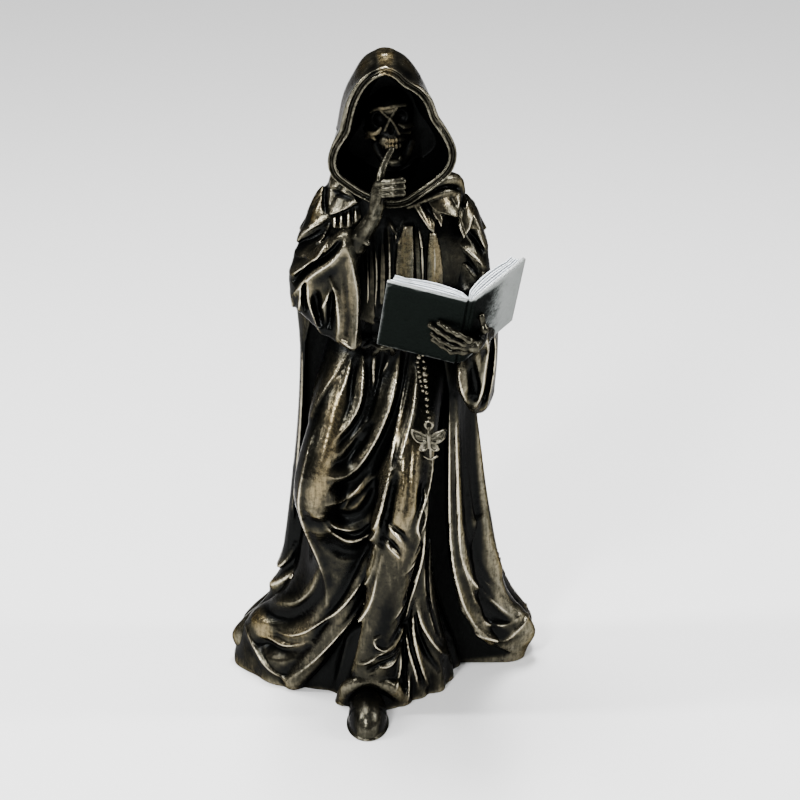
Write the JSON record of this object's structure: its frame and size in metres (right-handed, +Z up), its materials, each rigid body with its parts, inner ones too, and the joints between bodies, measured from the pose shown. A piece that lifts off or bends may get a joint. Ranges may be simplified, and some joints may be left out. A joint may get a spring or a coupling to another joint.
{
  "type": "hooded figure sculpture",
  "caption": "Standing hooded skeleton figure in a long draped robe and cloak, reading an open book with a finger raised to its lips.",
  "frame": {"origin": "middle of the footprint's bounding box, on the ground", "axes": "+Z up from the ground to the hood, the figure faces -Y, +X to the right as seen from in front"},
  "size_m": [0.115, 0.105, 0.2395],
  "materials": {
    "bronze_patina": "cold-cast bronze, near-black glossy patina in the hollows, burnished brown bronze on the raised folds",
    "book_paint": "satin paint, dark grey-green covers and silver-white page edges"
  },
  "bodies": {
    "root": {"hooded_figure": "bronze_patina", "open_book": "book_paint"}
  },
  "joints": []
}
